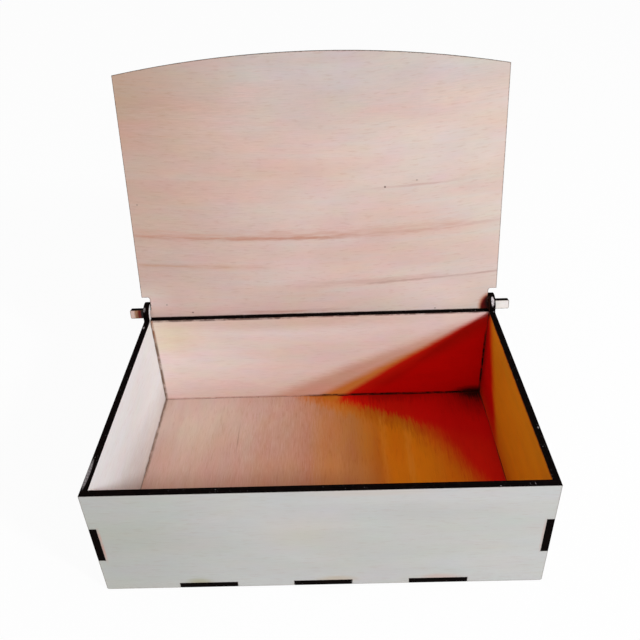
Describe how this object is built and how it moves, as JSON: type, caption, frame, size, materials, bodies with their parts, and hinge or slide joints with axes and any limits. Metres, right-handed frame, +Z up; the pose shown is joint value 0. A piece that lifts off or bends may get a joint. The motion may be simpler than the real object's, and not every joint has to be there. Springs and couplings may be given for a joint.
{
  "type": "wooden wine box",
  "caption": "Rectangular finger-jointed plywood keepsake box, open inside, with a bow-fronted lid swinging on pins in two hinge ears.",
  "frame": {"origin": "middle of the base panel's underside, on the surface that the box stands on", "axes": "+X to the right along the width, +Y to the rear where the hinge is, +Z up; the lid stands open at rest"},
  "size_m": [0.3804, 0.2804, 0.3549],
  "materials": {
    "base_veneer": "bare poplar plywood, pinkish, laser-charred edges",
    "front_veneer": "bare poplar plywood, pale grey-white, laser-charred edges",
    "back_veneer": "bare poplar plywood, pinkish, laser-charred edges",
    "side_veneer": "bare poplar plywood, near white, laser-charred edges",
    "lid_veneer": "bare poplar plywood with reddish-brown streaks, laser-charred edges"
  },
  "bodies": {
    "box": {"base_panel": "base_veneer", "front_panel": "front_veneer", "back_panel": "back_veneer", "left_side_panel": "side_veneer", "right_side_panel": "side_veneer"},
    "lid": {"lid": "lid_veneer"}
  },
  "joints": [
    {"name": "lid_hinge", "type": "hinge", "parent": "box", "child": "lid", "pos_m": [0, 0.11721, 0.11295], "axis": [1, 0, 0], "range_deg": [0, 101]}
  ]
}
